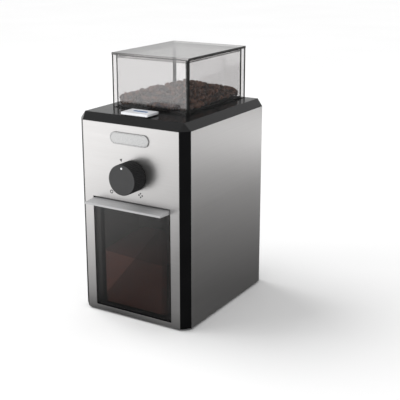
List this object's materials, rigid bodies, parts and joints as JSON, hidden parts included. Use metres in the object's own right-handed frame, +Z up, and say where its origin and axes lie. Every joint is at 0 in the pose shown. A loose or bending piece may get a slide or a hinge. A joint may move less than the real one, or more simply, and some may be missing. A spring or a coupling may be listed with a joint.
{
  "type": "burr coffee grinder",
  "caption": "Upright burr coffee grinder: steel box body with black bevelled cover, clear bean hopper on top, front knob and pull-out drawer for the grounds.",
  "frame": {"origin": "on the table under the middle of the whole object, knob and ledge included", "axes": "+Z up, front towards -Y, +X to the right seen from the front"},
  "size_m": [0.128, 0.179, 0.262],
  "materials": {
    "black_plastic": "fine satin moulding",
    "cover_black": "semi-gloss",
    "brushed_steel": "horizontal brushing",
    "silver_plastic": "silver paint, satin",
    "badge_metal": "satin with a polished rim",
    "smoked_clear": "polished, lightly smoked, clear",
    "smoked_dark": "polished, dark smoked, clear",
    "white_plastic": "gloss",
    "blue_window": "gloss, translucent",
    "knob_black": "satin, fluted",
    "indicator_white": "gloss paint",
    "gear_plastic": "acetal",
    "burr_steel": "ground and hardened",
    "machined_steel": "turned",
    "zinc_steel": "zinc plated",
    "bronze": "sintered",
    "copper": "enamelled wire",
    "core_steel": "laminated",
    "magnet_ferrite": "sintered ferrite",
    "board_green": "solder mask",
    "component_black": "moulded",
    "foot_rubber": "matte",
    "bean_brown": "roasted, slightly oily",
    "ground_brown": "coarse powder"
  },
  "bodies": {
    "housing": {"base_plate": "black_plastic", "front_frame": "black_plastic", "rear_frame": "black_plastic", "side_frame_left": "black_plastic", "side_frame_right": "black_plastic", "front_panel": "brushed_steel", "side_panel_left": "brushed_steel", "side_panel_right": "brushed_steel", "rear_panel": "black_plastic", "top_cover": "cover_black", "badge_plate": "badge_metal", "bean_hopper": "smoked_clear", "hopper_funnel": "black_plastic", "coffee_beans": "bean_brown", "container_bay": "black_plastic", "button_spring": "machined_steel", "start_switch": "component_black", "selector_bush": "gear_plastic", "selector_bracket": "zinc_steel", "lower_bearing": "bronze", "upper_bearing": "bronze", "grinding_chamber": "black_plastic", "chamber_cover": "black_plastic", "chamber_pillars": "zinc_steel", "grounds_chute": "black_plastic", "chassis_plate": "zinc_steel", "motor_can": "zinc_steel", "motor_magnets": "magnet_ferrite", "motor_end_bell": "component_black", "motor_brushes": "bronze", "motor_bearing": "bronze", "control_board": "board_green", "board_parts": "component_black", "drawer_switch": "component_black", "cord_inlet": "foot_rubber", "fasteners": "zinc_steel", "rubber_feet": "foot_rubber"},
    "drawer": {"grounds_container": "smoked_dark", "container_lid": "silver_plastic", "ground_coffee": "ground_brown"},
    "hopper_lid": {"hopper_lid": "smoked_clear"},
    "start_button": {"start_button": "white_plastic", "button_window": "blue_window"},
    "selector": {"selector_knob": "knob_black", "knob_indicator": "indicator_white", "selector_shaft": "machined_steel", "selector_pinion": "gear_plastic"},
    "adjusting_ring": {"adjusting_ring": "gear_plastic"},
    "upper_burr": {"upper_burr": "burr_steel", "upper_burr_carrier": "black_plastic"},
    "burr_rotor": {"lower_burr": "burr_steel", "burr_carrier": "machined_steel", "burr_shaft": "machined_steel", "burr_nut": "zinc_steel", "drive_gear": "gear_plastic"},
    "motor_rotor": {"armature": "core_steel", "armature_windings": "copper", "commutator": "copper", "motor_shaft": "machined_steel", "motor_pinion": "bronze"}
  },
  "joints": [
    {"name": "drawer_slide", "type": "slide", "parent": "housing", "child": "drawer", "axis": [0, -1, 0], "range_m": [0, 0.085]},
    {"name": "hopper_lid_lift", "type": "slide", "parent": "housing", "child": "hopper_lid", "axis": [0, 0, 1], "range_m": [0, 0.06]},
    {"name": "start_button_press", "type": "slide", "parent": "housing", "child": "start_button", "axis": [0, 0, -1], "range_m": [0, 0.001], "stiffness_N_per_m": 1200, "springref_m": -0.0005, "deforming": ["button_spring"]},
    {"name": "selector_turn", "type": "hinge", "parent": "housing", "child": "selector", "pos_m": [0.0035, -0.0705, 0.1505], "axis": [0, 1, 0], "range_deg": [-135, 135]},
    {"name": "ring_turn", "type": "hinge", "parent": "housing", "child": "adjusting_ring", "pos_m": [0.0035, 0.0175, 0.1575], "axis": [0, 0, 1], "range_deg": [-23.82, 23.82]},
    {"name": "upper_burr_lift", "type": "slide", "parent": "housing", "child": "upper_burr", "axis": [0, 0, 1], "range_m": [-0.0005, 0.0005]},
    {"name": "burr_spin", "type": "hinge", "parent": "housing", "child": "burr_rotor", "pos_m": [0.0035, 0.0175, 0.13], "axis": [0, 0, 1], "continuous": true},
    {"name": "motor_spin", "type": "hinge", "parent": "housing", "child": "motor_rotor", "pos_m": [0.0035, 0.0555, 0.095], "axis": [0, 0, 1], "continuous": true}
  ],
  "couplings": [
    {"joint": "selector_turn", "follows": "ring_turn", "ratio": 5.6667},
    {"joint": "upper_burr_lift", "follows": "ring_turn", "m_per_rad": 0.0010823},
    {"joint": "motor_spin", "follows": "burr_spin", "ratio": -5.3333}
  ]
}
